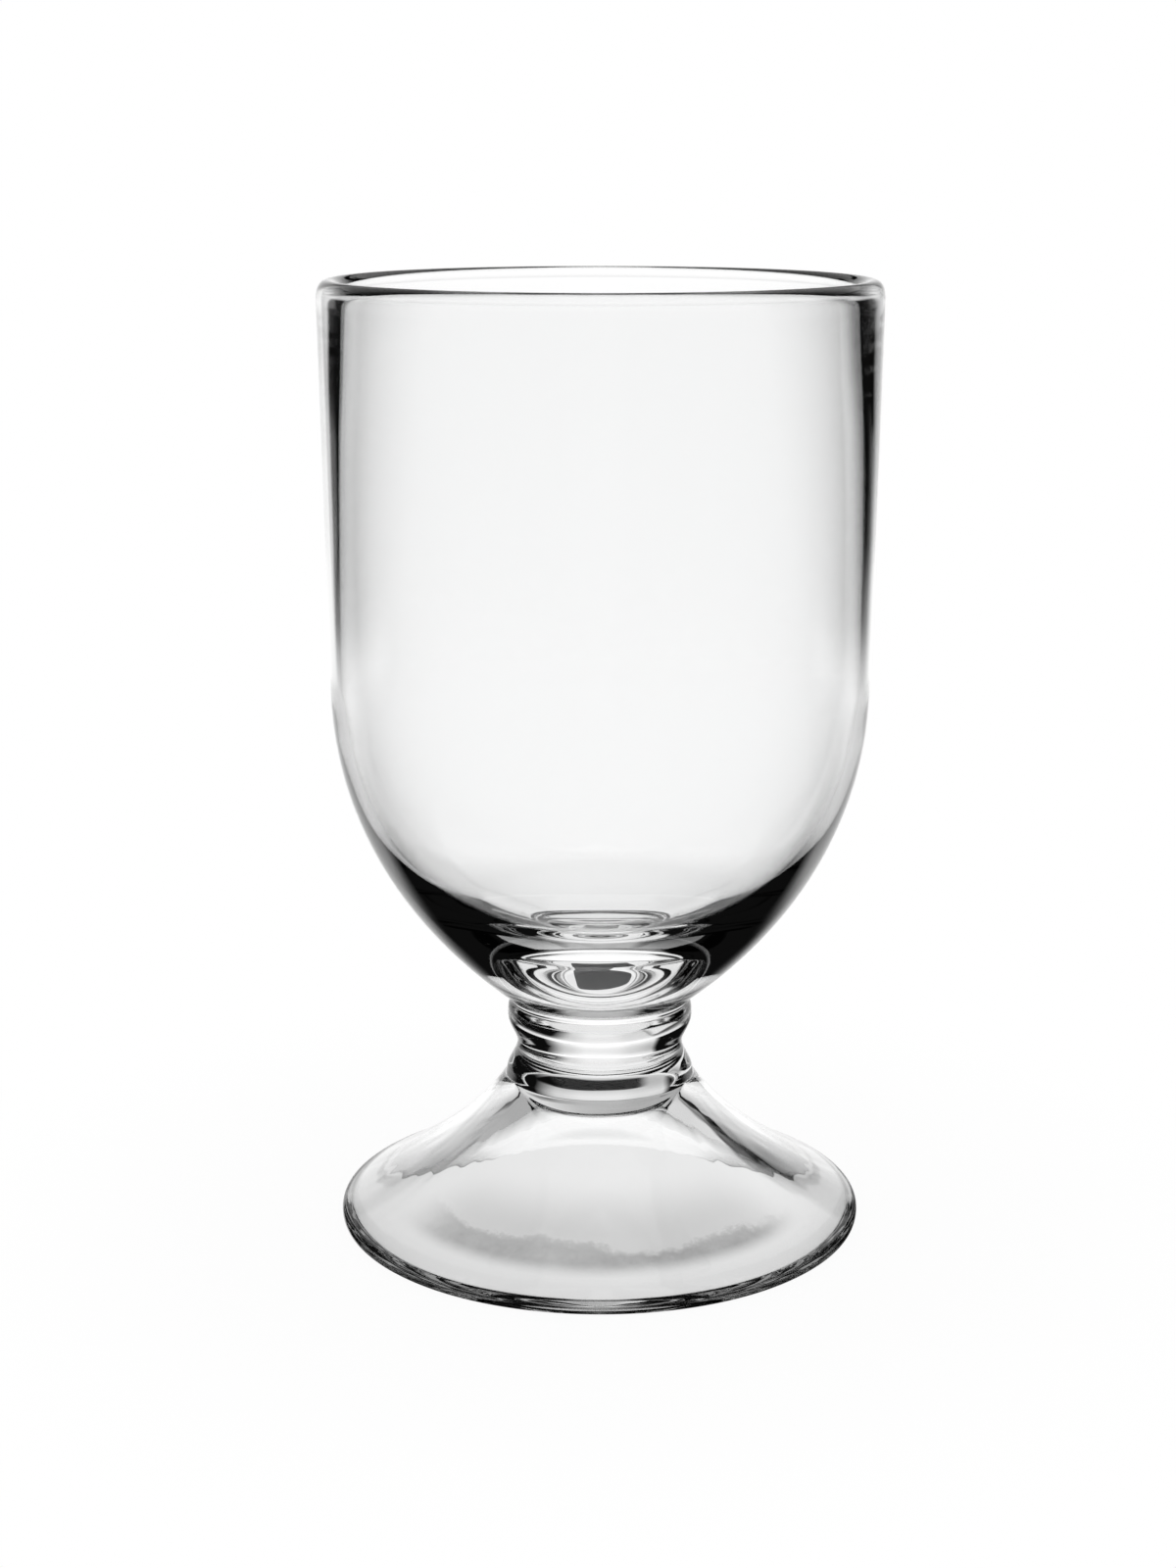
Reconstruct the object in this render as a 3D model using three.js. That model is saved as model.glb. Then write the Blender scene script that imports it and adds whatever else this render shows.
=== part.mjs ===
// A footed drinking glass of clear soda glass: a deep U-shaped bowl on a short stem of two
// rings, over a flared hollow foot. The four glass pieces are worked separately and fused hot
// on flat faces, and a small blank label is stuck under the stem, inside the foot.
// Millimetres, +Z up. The origin is the middle of the circle that the foot stands on.
import * as THREE from 'three';

// Facets around the axis, and steps along each curve of a profile.
const ROUND_FACETS = 48;
const LONG_CURVE_STEPS = 10;
const SHORT_CURVE_STEPS = 4;

// Heights of the stacked glass pieces, from the table up.
const FOOT_HEIGHT = 25.5;
const LOWER_RING_HEIGHT = 5.5;
const UPPER_RING_HEIGHT = 7.3;
const BOWL_HEIGHT = 120.7;

// Radii of the stem: at the two fused seams, at the waist between the rings, and at the bead.
const FOOT_SEAM_RADIUS = 15.95;
const WAIST_RADIUS = 14.0;
const BEAD_RADIUS = 15.65;
const BOWL_SEAM_RADIUS = 15.2;

// Height of the bead's widest circle above the waist.
const BEAD_RISE = 5.0;

// Outside of the bowl. The belly curve runs from the neck to the shoulder, where the wall
// starts, and leans towards a corner set in from the shoulder and up from the neck.
const NECK_RADIUS = 16.2;
const NECK_HEIGHT = 1.7;
const SHOULDER_RADIUS = 44.4;
const SHOULDER_HEIGHT = 49.7;
const BELLY_CORNER_INSET = 3.2;
const BELLY_CORNER_RISE = 19.5;
const RIM_RADIUS = 45.4;

// Inside of the bowl: a dish that is level on the axis, a curve that leaves the dish without a
// kink and ends upright where the wall is thinnest, and a wall that thickens slowly to the lip.
// The lead and the drop say how far the curve follows the dish and the wall at its two ends.
const LIP_WALL = 4.1;
const LIP_ROUND = 3.1;
const CAVITY_INSET = 1.7;
const CAVITY_CURVE_HEIGHT = 56.7;
const CAVITY_LEAD = 10;
const CAVITY_DROP = 22.2;
const BASE_THICKNESS = 7.9;
const DISH_RADIUS = 21.4;
const DISH_RISE = 7.6;
const DISH_SLOPE = 0.4;

// Outside of the foot: a flare that sweeps from the stem out to a rounded edge.
const FOOT_RADIUS = 44.45;
const FOOT_EDGE_MIDDLE = 1.7;
const FOOT_EDGE_TOP = 3.1;
const FOOT_EDGE_SETBACK = 1.0;
const FLARE_CORNER_OUT = 7.4;
const FLARE_CORNER_RISE = 11.1;

// Underside of the foot: a flat ring to stand on, round a hollow with a flat top.
const STANDING_RING_OUTER_INSET = 1.55;
const STANDING_RING_WIDTH = 1.7;
const HOLLOW_HEIGHT = 19.75;
const HOLLOW_TOP_RADIUS = 10;
const HOLLOW_CORNER_INSET = 9.7;
const HOLLOW_CORNER_RISE = 2.0;

// Blank label stuck a little askew to the flat top of the hollow, and slid out from the axis
// along its own width.
const LABEL_LENGTH = 12;
const LABEL_WIDTH = 9;
const LABEL_THICKNESS = 0.25;
const LABEL_OUT = 2.5;
const LABEL_TURN_DEGREES = -7;

// Heights of the seams, worked out from the stack.
const FOOT_SEAM = FOOT_HEIGHT;
const WAIST = FOOT_SEAM + LOWER_RING_HEIGHT;
const BOWL_SEAM = WAIST + UPPER_RING_HEIGHT;
const RIM_TOP = BOWL_SEAM + BOWL_HEIGHT;

const glass = new THREE.MeshStandardMaterial({
  color: 0xf4f6f6, roughness: 0.04, metalness: 0, transparent: true, opacity: 0.35,
});
const paper = new THREE.MeshStandardMaterial({ color: 0x4c4e50, roughness: 0.7, metalness: 0 });

// Profile points are (radius, height).
function at(radius, height) {
  return new THREE.Vector2(radius, height);
}

// A curve from one point to another, drawn towards a corner point.
function bend(start, corner, end, steps) {
  return new THREE.QuadraticBezierCurve(start, corner, end).getPoints(steps);
}

// A curve that starts out towards one lead point and comes to its end from another.
function sweep(start, lead, lastLead, end, steps) {
  return new THREE.CubicBezierCurve(start, lead, lastLead, end).getPoints(steps);
}

// A smooth step of the radius between two heights, level at both ends.
function swell(start, end, steps) {
  const points = [];
  for (let i = 0; i <= steps; i += 1) {
    const share = i / steps;
    const eased = (1 - Math.cos(Math.PI * share)) / 2;
    points.push(at(
      THREE.MathUtils.lerp(start.x, end.x, eased),
      THREE.MathUtils.lerp(start.y, end.y, share),
    ));
  }
  return points;
}

// A turned solid from stretches of profile that follow on from each other.
function turned(name, material, stretches) {
  const profile = [];
  for (const point of stretches.flat()) {
    const last = profile.at(-1);
    if (!last || last.distanceTo(point) > 1e-6) {
      profile.push(point);
    }
  }
  const geometry = new THREE.LatheGeometry(profile, ROUND_FACETS);
  geometry.rotateX(Math.PI / 2);
  const mesh = new THREE.Mesh(geometry, material.clone());
  mesh.name = name;
  return mesh;
}

function makeBowl() {
  const neck = at(NECK_RADIUS, BOWL_SEAM + NECK_HEIGHT);
  const shoulder = at(SHOULDER_RADIUS, BOWL_SEAM + SHOULDER_HEIGHT);
  const bellyCorner = at(shoulder.x - BELLY_CORNER_INSET, neck.y + BELLY_CORNER_RISE);
  const rimOuter = at(RIM_RADIUS, RIM_TOP - LIP_ROUND);
  const rimMiddle = at(RIM_RADIUS - LIP_WALL / 2, RIM_TOP);
  const rimInner = at(RIM_RADIUS - LIP_WALL, RIM_TOP - LIP_ROUND);

  const floor = at(0, BOWL_SEAM + BASE_THICKNESS);
  const dishEdge = at(DISH_RADIUS, floor.y + DISH_RISE);
  const dishReach = DISH_RADIUS / 3;
  const dishInward = at(dishEdge.x - dishReach, dishEdge.y - dishReach * DISH_SLOPE);
  const dishLead = at(dishEdge.x + CAVITY_LEAD, dishEdge.y + CAVITY_LEAD * DISH_SLOPE);
  const cavityWall = at(SHOULDER_RADIUS - CAVITY_INSET, BOWL_SEAM + CAVITY_CURVE_HEIGHT);
  const wallLead = at(cavityWall.x, cavityWall.y - CAVITY_DROP);
  const wallCorner = at(cavityWall.x, (cavityWall.y + rimInner.y) / 2);

  return turned('bowl', glass, [
    [at(0, BOWL_SEAM)],
    bend(at(BOWL_SEAM_RADIUS, BOWL_SEAM), at(BOWL_SEAM_RADIUS, neck.y), neck, SHORT_CURVE_STEPS),
    bend(neck, bellyCorner, shoulder, LONG_CURVE_STEPS),
    bend(rimOuter, at(rimOuter.x, RIM_TOP), rimMiddle, SHORT_CURVE_STEPS),
    bend(rimMiddle, at(rimInner.x, RIM_TOP), rimInner, SHORT_CURVE_STEPS),
    bend(rimInner, wallCorner, cavityWall, SHORT_CURVE_STEPS),
    sweep(cavityWall, wallLead, dishLead, dishEdge, LONG_CURVE_STEPS),
    sweep(dishEdge, dishInward, at(dishReach, floor.y), floor, LONG_CURVE_STEPS),
  ]);
}

function makeUpperRing() {
  const waist = at(WAIST_RADIUS, WAIST);
  const bead = at(BEAD_RADIUS, WAIST + BEAD_RISE);
  const seam = at(BOWL_SEAM_RADIUS, BOWL_SEAM);
  return turned('upper_stem_ring', glass, [
    [at(0, WAIST)],
    swell(waist, bead, 2 * SHORT_CURVE_STEPS),
    bend(bead, at(bead.x, seam.y), seam, SHORT_CURVE_STEPS),
    [at(0, BOWL_SEAM)],
  ]);
}

function makeLowerRing() {
  const seam = at(FOOT_SEAM_RADIUS, FOOT_SEAM);
  const waist = at(WAIST_RADIUS, WAIST);
  return turned('lower_stem_ring', glass, [
    [at(0, FOOT_SEAM)],
    swell(seam, waist, 2 * SHORT_CURVE_STEPS),
    [at(0, WAIST)],
  ]);
}

function makeFoot() {
  const ringOuter = at(FOOT_RADIUS - STANDING_RING_OUTER_INSET, 0);
  const ringInner = at(ringOuter.x - STANDING_RING_WIDTH, 0);
  const hollowTop = at(HOLLOW_TOP_RADIUS, HOLLOW_HEIGHT);
  const hollowCorner = at(ringInner.x - HOLLOW_CORNER_INSET, HOLLOW_CORNER_RISE);
  const edge = at(FOOT_RADIUS, FOOT_EDGE_MIDDLE);
  const edgeTop = at(FOOT_RADIUS - FOOT_EDGE_SETBACK, FOOT_EDGE_TOP);
  const seam = at(FOOT_SEAM_RADIUS, FOOT_SEAM);
  const flareCorner = at(seam.x + FLARE_CORNER_OUT, edgeTop.y + FLARE_CORNER_RISE);

  return turned('foot', glass, [
    [at(0, HOLLOW_HEIGHT)],
    bend(hollowTop, hollowCorner, ringInner, LONG_CURVE_STEPS),
    bend(ringOuter, at(edge.x, 0), edge, SHORT_CURVE_STEPS),
    bend(edge, at(edge.x, edgeTop.y), edgeTop, SHORT_CURVE_STEPS),
    bend(edgeTop, flareCorner, seam, LONG_CURVE_STEPS),
    [at(0, FOOT_SEAM)],
  ]);
}

function makeLabel() {
  const geometry = new THREE.BoxGeometry(LABEL_LENGTH, LABEL_WIDTH, LABEL_THICKNESS);
  const mesh = new THREE.Mesh(geometry, paper.clone());
  mesh.name = 'base_label';
  const turn = THREE.MathUtils.degToRad(LABEL_TURN_DEGREES);
  const middle = HOLLOW_HEIGHT - LABEL_THICKNESS / 2;
  mesh.position.set(-LABEL_OUT * Math.sin(turn), LABEL_OUT * Math.cos(turn), middle);
  mesh.rotation.z = turn;
  return mesh;
}

const footedGlass = new THREE.Group();
footedGlass.name = 'footed_glass';
footedGlass.add(makeBowl(), makeUpperRing(), makeLowerRing(), makeFoot(), makeLabel());

export default footedGlass;
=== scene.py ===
# %% [markdown]
# # A footed hurricane glass, fused from four pieces of clear glass
#
# The object is a hand-worked drinking glass: a deep U-shaped bowl on a short stem of two rings,
# over a flared hollow foot, with a small blank label stuck under the stem. This lesson rebuilds its
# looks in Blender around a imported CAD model, which stays as the fixed frame: every piece below has
# the sizes of the solid that it stands for, in metres and in the same place.

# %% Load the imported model
import math

import bpy
import numpy as np
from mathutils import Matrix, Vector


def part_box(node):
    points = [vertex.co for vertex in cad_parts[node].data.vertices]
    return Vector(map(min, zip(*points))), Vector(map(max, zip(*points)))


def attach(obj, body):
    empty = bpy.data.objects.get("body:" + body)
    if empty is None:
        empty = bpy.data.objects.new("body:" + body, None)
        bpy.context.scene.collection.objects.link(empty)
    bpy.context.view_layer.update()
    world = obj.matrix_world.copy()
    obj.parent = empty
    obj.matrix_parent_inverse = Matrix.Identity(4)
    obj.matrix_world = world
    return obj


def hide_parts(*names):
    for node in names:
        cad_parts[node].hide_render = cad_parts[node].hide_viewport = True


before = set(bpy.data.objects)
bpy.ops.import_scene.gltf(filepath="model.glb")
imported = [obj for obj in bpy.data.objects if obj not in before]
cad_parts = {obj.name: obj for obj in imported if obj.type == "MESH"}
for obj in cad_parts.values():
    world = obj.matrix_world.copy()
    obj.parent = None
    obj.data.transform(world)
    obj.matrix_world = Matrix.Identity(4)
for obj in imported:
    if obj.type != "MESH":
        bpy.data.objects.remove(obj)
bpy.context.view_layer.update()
scene = bpy.context.scene

# %% [markdown]
# ## The camera
#
# The photograph was taken from a little above the rim, looking down by about 14 degrees. A camera
# can be matched by eye, but here its place and its focal length were solved from the widths and the
# heights of the ellipses of the rim and of the foot, so the render lies on the photograph.

# %% Place the camera
PHOTO_HEIGHT_PIXELS = 1600
FOCAL_LENGTH_PIXELS = 2700
SENSOR_HEIGHT = 36.0
CAMERA_PLACE = (-0.002, -0.430, 0.1799)
LOOK_DOWN_DEGREES = 13.61
NEAREST_SEEN = 0.01

camera_data = bpy.data.cameras.new("photo_camera")
camera_data.sensor_fit = "VERTICAL"
camera_data.sensor_height = SENSOR_HEIGHT
camera_data.lens = SENSOR_HEIGHT * FOCAL_LENGTH_PIXELS / PHOTO_HEIGHT_PIXELS
camera_data.clip_start = NEAREST_SEEN
camera = bpy.data.objects.new("photo_camera", camera_data)
camera.location = CAMERA_PLACE
camera.rotation_euler = (math.radians(90 - LOOK_DOWN_DEGREES), 0, 0)
scene.collection.objects.link(camera)
scene.camera = camera
scene.view_settings.view_transform = "Standard"
print("lens: %.2f mm" % camera_data.lens)

# %% [markdown]
# ## The sizes of the profile
#
# Every glass piece is turned about the same axis, so one profile, drawn in radius and height, gives
# the whole skin of the glass: from the middle of the hollow under the foot, round the foot's edge,
# up the stem and the bowl, over the lip, and down into the bowl to the middle of its floor. Each
# piece could be lathed on its own, but then the profiles would have to agree at every seam. The
# heights of the seams and the widest radii are read from the solids; the other sizes are those that
# the solids were drawn with. Profiles are in millimetres, because that is how glass is measured.

# %% Read the stack from the solids
MM = 0.001


def top_of(node):
    """Height of the highest corner of a solid's box, in millimetres."""
    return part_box(node)[1].z / MM


def radius_of(node):
    """Half of the width of a solid's box, in millimetres."""
    low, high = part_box(node)
    return (high.x - low.x) / 2 / MM


STACK = ("foot", "lower_stem_ring", "upper_stem_ring", "bowl")
FOOT_SEAM, WAIST, BOWL_SEAM, RIM_TOP = map(top_of, STACK)
FOOT_RADIUS, FOOT_SEAM_RADIUS, BEAD_RADIUS, RIM_RADIUS = map(radius_of, STACK)
print("seams at %.2f, %.2f and %.2f mm" % (FOOT_SEAM, WAIST, BOWL_SEAM), "rim at %.2f mm" % RIM_TOP)

# %% Stretches of profile


def line(start, end, steps=40):
    """A straight stretch: start + t (end - start) for t from 0 to 1."""
    t = np.linspace(0, 1, steps + 1)[:, None]
    return np.add(start, t * np.subtract(end, start))


def bend(start, corner, end, steps=80):
    """A curve drawn towards a corner: (1-t)^2 start + 2t(1-t) corner + t^2 end."""
    t = np.linspace(0, 1, steps + 1)[:, None]
    return (1 - t) ** 2 * start + 2 * t * (1 - t) * corner + t**2 * end


def sweep(start, lead, last_lead, end, steps=120):
    """A curve with a lead at each end:
    (1-t)^3 start + 3t(1-t)^2 lead + 3t^2(1-t) last_lead + t^3 end."""
    t = np.linspace(0, 1, steps + 1)[:, None]
    ends = (1 - t) ** 3 * start + t**3 * end
    return ends + 3 * t * (1 - t) ** 2 * lead + 3 * t**2 * (1 - t) * last_lead


def swell(start, end, steps=40):
    """A radius that eases from one value to another, by (1 - cos(pi t)) / 2, while the height
    runs evenly."""
    t = np.linspace(0, 1, steps + 1)
    eased = (1 - np.cos(np.pi * t)) / 2
    radius = start[0] + (end[0] - start[0]) * eased
    return np.stack([radius, start[1] + (end[1] - start[1]) * t], axis=1)


print("stretch helpers ready")

# %% The foot's stretch
HOLLOW_TOP, HOLLOW_TOP_RADIUS = 19.75, 10.0
HOLLOW_CORNER = (31.5, 2.0)
RING_INNER_RADIUS, RING_OUTER_RADIUS = 41.2, 42.9
EDGE_MIDDLE, EDGE_TOP, EDGE_SETBACK = 1.7, 3.1, 1.0
FLARE_CORNER_OUT, FLARE_CORNER_HEIGHT = 7.4, 14.2
RING_STEPS, EDGE_STEPS = 8, 16

hollow_edge = (HOLLOW_TOP_RADIUS, HOLLOW_TOP)
ring_inner, ring_outer = (RING_INNER_RADIUS, 0.0), (RING_OUTER_RADIUS, 0.0)
edge_middle = (FOOT_RADIUS, EDGE_MIDDLE)
edge_top = (FOOT_RADIUS - EDGE_SETBACK, EDGE_TOP)
flare_corner = (FOOT_SEAM_RADIUS + FLARE_CORNER_OUT, FLARE_CORNER_HEIGHT)
foot_seam = (FOOT_SEAM_RADIUS, FOOT_SEAM)

foot_stretches = [
    line((0.0, HOLLOW_TOP), hollow_edge),
    bend(hollow_edge, HOLLOW_CORNER, ring_inner),
    line(ring_inner, ring_outer, RING_STEPS),
    bend(ring_outer, (FOOT_RADIUS, 0.0), edge_middle, EDGE_STEPS),
    bend(edge_middle, (FOOT_RADIUS, EDGE_TOP), edge_top, EDGE_STEPS),
    bend(edge_top, flare_corner, foot_seam),
]
print("foot: %.2f mm wide, with a hollow %.2f mm high" % (2 * FOOT_RADIUS, HOLLOW_TOP))

# %% The stem's stretch
WAIST_RADIUS = 14.0
BEAD_RISE = 5.0
BOWL_SEAM_RADIUS = 15.2
ROUND_STEPS = 24

waist = (WAIST_RADIUS, WAIST)
bead = (BEAD_RADIUS, WAIST + BEAD_RISE)
bowl_seam = (BOWL_SEAM_RADIUS, BOWL_SEAM)

stem_stretches = [
    swell(foot_seam, waist),
    swell(waist, bead),
    bend(bead, (BEAD_RADIUS, BOWL_SEAM), bowl_seam, ROUND_STEPS),
]
print("stem: %.2f mm wide at the waist, %.2f at the bead" % (2 * WAIST_RADIUS, 2 * BEAD_RADIUS))

# %% The bowl's stretch, up the outside and over the lip
NECK_RADIUS, NECK_HEIGHT = 16.2, 1.7
BELLY_CORNER_RADIUS, BELLY_CORNER_RISE = 41.2, 19.5
SHOULDER_RADIUS, SHOULDER_HEIGHT = 44.4, 49.7
LIP_HEIGHT, LIP_WALL = 3.1, 4.1

neck = (NECK_RADIUS, BOWL_SEAM + NECK_HEIGHT)
belly_corner = (BELLY_CORNER_RADIUS, neck[1] + BELLY_CORNER_RISE)
shoulder = (SHOULDER_RADIUS, BOWL_SEAM + SHOULDER_HEIGHT)
rim_outer = (RIM_RADIUS, RIM_TOP - LIP_HEIGHT)
rim_middle = (RIM_RADIUS - LIP_WALL / 2, RIM_TOP)
rim_inner = (RIM_RADIUS - LIP_WALL, RIM_TOP - LIP_HEIGHT)

outer_stretches = [
    bend(bowl_seam, (BOWL_SEAM_RADIUS, neck[1]), neck, ROUND_STEPS),
    bend(neck, belly_corner, shoulder),
    line(shoulder, rim_outer),
    bend(rim_outer, (RIM_RADIUS, RIM_TOP), rim_middle, ROUND_STEPS),
    bend(rim_middle, (rim_inner[0], RIM_TOP), rim_inner, ROUND_STEPS),
]
print("bowl: %.2f mm wide at the rim" % (2 * RIM_RADIUS))

# %% The bowl's stretch, down the inside
WALL_RADIUS, WALL_HEIGHT, WALL_DROP = 42.7, 56.7, 22.2
BASE_THICKNESS = 7.9
DISH_RADIUS, DISH_RISE, DISH_SLOPE, DISH_LEAD = 21.4, 7.6, 0.4, 10.0

cavity_wall = (WALL_RADIUS, BOWL_SEAM + WALL_HEIGHT)
wall_corner = (WALL_RADIUS, (cavity_wall[1] + rim_inner[1]) / 2)
wall_lead = (WALL_RADIUS, cavity_wall[1] - WALL_DROP)
floor_middle = (0.0, BOWL_SEAM + BASE_THICKNESS)
dish_edge = (DISH_RADIUS, floor_middle[1] + DISH_RISE)
dish_reach = DISH_RADIUS / 3
dish_inward = (DISH_RADIUS - dish_reach, dish_edge[1] - dish_reach * DISH_SLOPE)
dish_lead = (DISH_RADIUS + DISH_LEAD, dish_edge[1] + DISH_LEAD * DISH_SLOPE)

inner_stretches = [
    bend(rim_inner, wall_corner, cavity_wall),
    sweep(cavity_wall, wall_lead, dish_lead, dish_edge),
    sweep(dish_edge, dish_inward, (dish_reach, floor_middle[1]), floor_middle),
]
drawn = np.concatenate(foot_stretches + stem_stretches + outer_stretches + inner_stretches)
print("profile drawn with", len(drawn), "points")

# %% [markdown]
# ## Softening the profile
#
# Hot glass has no sharp corners: surface tension rounds them off. A bevel on the mesh would round
# the edges one by one; a running mean along the profile rounds all of them at once, and its reach
# can change along the way: a third of a millimetre round the edges, and a few millimetres at the
# shoulder, where the belly of the bowl flows into its wall.

# %% Even steps along the profile
STEP = 0.15


def distance_along(points):
    """Length of the profile from its start to each point: the running sum of the gaps."""
    gaps = np.linalg.norm(np.diff(points, axis=0), axis=1)
    return np.concatenate([[0.0], np.cumsum(gaps)])


def at_distance(points, distance, wanted):
    """Points of the profile at the wanted distances, by straight interpolation."""
    return np.stack([np.interp(wanted, distance, points[:, k]) for k in (0, 1)], axis=1)


drawn_distance = distance_along(drawn)
total_length = drawn_distance[-1]
even_distance = np.linspace(0, total_length, int(total_length / STEP) + 1)
even = at_distance(drawn, drawn_distance, even_distance)
print("profile is %.1f mm long" % total_length)

# %% A running mean with a changing reach
EDGE_REACH = 0.3
SHOULDER_REACH = 3.6
SHOULDER_SPAN = (3.2, 16.0)
MIRRORED_POINTS = 120


def rise(value, low, high):
    """A smooth step: 0 below low, 1 above high, and 3t^2 - 2t^3 between them."""
    t = np.clip((value - low) / (high - low), 0, 1)
    return t * t * (3 - 2 * t)


def softened(points, reach):
    """Each point becomes the mean of its neighbours, weighted exp(-d^2 / 2 reach^2) by their
    distance d along the profile. Past its ends on the axis the profile goes on as its own
    mirror image."""
    mirror = np.array([-1.0, 1.0])
    before = points[MIRRORED_POINTS:0:-1] * mirror
    after = points[-2:-MIRRORED_POINTS - 2:-1] * mirror
    longer = np.concatenate([before, points, after])
    index = np.arange(len(longer)) - MIRRORED_POINTS
    apart = (index[None, :] - np.arange(len(points))[:, None]) * STEP
    weight = np.exp(-0.5 * (apart / reach[:, None]) ** 2)
    return (weight @ longer) / weight.sum(axis=1, keepdims=True)


near_shoulder = 1 - rise(np.abs(even[:, 1] - shoulder[1]), *SHOULDER_SPAN)
outside = even_distance < even_distance[np.argmax(even[:, 1])]
reach = EDGE_REACH + (SHOULDER_REACH - EDGE_REACH) * near_shoulder * outside
profile = softened(even, reach)
profile[[0, -1], 0] = 0.0
profile[:, 0] = np.minimum(profile[:, 0], RIM_RADIUS)
print("softened by up to %.2f mm" % np.linalg.norm(profile - even, axis=1).max())

# %% [markdown]
# ## Stations along the profile
#
# The skin needs rings of points closer together where the profile turns fast, at the lip and the
# edges, than on the long straight wall. Even steps as close as the lip needs would make the wall
# heavy. The spacing that keeps a chord within a few micrometres of its arc is the square root of
# eight times that error over the curvature. The pieces are cut from the skin at the three fused
# seams, so each stretch between seams gets stations of its own, and the two pieces that meet there
# share the ring on the seam.

# %% Where the seams and the edges are along the profile
EDGE_BELOW = 4.0

rim_distance = even_distance[np.argmax(profile[:, 1])]
low_radius = np.where(profile[:, 1] < EDGE_BELOW, profile[:, 0], 0)
edge_distance = even_distance[np.argmax(low_radius)]
climbing = (even_distance > edge_distance) & (even_distance < rim_distance)
seam_heights = [FOOT_SEAM, WAIST, BOWL_SEAM]
seam_distances = np.interp(seam_heights, profile[climbing, 1], even_distance[climbing])
print("seams at", np.round(seam_distances, 2), "mm along the profile")

# %% Choose the stations
CHORD_ERROR = 0.0035
CLOSEST, WIDEST = 0.13, 1.05
LEAST_CURVATURE = 1e-6

tangent = np.gradient(profile, even_distance, axis=0)
heading = np.unwrap(np.arctan2(tangent[:, 1], tangent[:, 0]))
curvature = np.maximum(np.abs(np.gradient(heading, even_distance)), LEAST_CURVATURE)
spacing = np.clip(np.sqrt(8 * CHORD_ERROR / curvature), CLOSEST, WIDEST)
crowding = np.concatenate([[0.0], np.cumsum(STEP / spacing[1:])])


def stations_between(start, end):
    """Distances from start to end, spaced so that each gap holds the same share of the crowding."""
    first, last = np.interp([start, end], even_distance, crowding)
    count = int(np.ceil(last - first)) + 1
    inner = np.interp(np.linspace(first, last, count), crowding, even_distance)
    inner[[0, -1]] = start, end
    return inner


cuts = np.concatenate([[0.0], seam_distances, [total_length]])
stretches = [stations_between(start, end) for start, end in zip(cuts[:-1], cuts[1:])]
station = np.concatenate([stretches[0]] + [stretch[1:] for stretch in stretches[1:]])
seam_rows = np.cumsum([len(stretch) - 1 for stretch in stretches[:-1]])
radius, height = at_distance(profile, even_distance, station).T
print(len(station), "stations, seams at", seam_rows.tolist())

# %% [markdown]
# ## The mark of the hand
#
# A glass worked at the furnace is never quite round. Its wall is a little thicker on one side, the
# stem keeps the waves of the jacks, and the flare of the foot keeps fine flutes from the paddle. A
# displacement texture could add them, but its ripples would not line up where pieces meet; a few
# cosines of the angle and the distance along the profile, worked into the skin before it is cut,
# pass smoothly over every seam. All of them are small: hundredths of a millimetre.

# %% Ripples of the skin
FACETS_ROUND = 256
angle = np.linspace(0, 2 * np.pi, FACETS_ROUND, endpoint=False)

# Each wave is its depth, its turns round the axis, its twist along the profile and its start.
FLARE_WAVES = [
    (0.004, 37, 0.02, 0.5), (0.003, 53, -0.03, 2.2), (0.002, 71, 0.04, 4.0), (0.02, 3, 0.09, 1.0),
]
STEM_WAVES = [(0.03, 2, 0.25, 0.7), (0.012, 5, -0.4, 1.9), (0.006, 8, 0.6, 0.3)]
BOWL_WAVES = [(0.02, 3, 0.05, 0.4), (0.012, 5, -0.08, 2.1), (0.004, 9, 0.13, 1.2)]
CAVITY_WAVES = [(0.05, 1, 0.0, 3.0), (0.016, 4, 0.06, 0.9), (0.006, 7, -0.11, 2.7)]


def ripple(waves):
    """Sum over the waves of depth * cos(turns * angle + twist * distance + start), on the whole
    grid."""
    return sum(
        depth * np.cos(turns * angle[None, :] + twist * station[:, None] + start)
        for depth, turns, twist, start in waves
    )


print("deepest ripple: %.2f mm" % np.abs(ripple(CAVITY_WAVES)).max())

# %% Where each kind of ripple lies
foot_cut, _, bowl_cut = seam_distances

# Each row is the waves, where they start and the span over which they come in, counted from
# there, and where they end and the span over which they die out.
HAND_MARKS = [
    (FLARE_WAVES, edge_distance, (3, 9), foot_cut, (-6, 0)),
    (STEM_WAVES, foot_cut, (-5, 0), bowl_cut, (0, 4)),
    (BOWL_WAVES, bowl_cut, (0, 15), rim_distance, (-25, -6)),
    (CAVITY_WAVES, rim_distance, (6, 25), total_length, (-30, -12)),
]


def share_between(start, come_in, end, die_out):
    """Share of the ripple at each station: a smooth step up by the start, times one down by the
    end."""
    up = rise(station, start + come_in[0], start + come_in[1])
    return up * (1 - rise(station, end + die_out[0], end + die_out[1]))


hand_mark = sum(share_between(*span)[:, None] * ripple(waves) for waves, *span in HAND_MARKS)
print("hand marks from %.3f to %.3f mm" % (hand_mark.min(), hand_mark.max()))

# %% [markdown]
# ## The skin of the glass
#
# The skin is a surface of two parameters, the distance along the profile and the angle round the
# axis. Its normals come from the same grid: the cross product of its slopes along the two
# parameters. Clear glass shows every fault of its normals as a kink in what is seen through it, so
# these exact normals are given to the meshes, instead of the mean of the faces around each point.

# %% Points and normals of the skin


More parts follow.
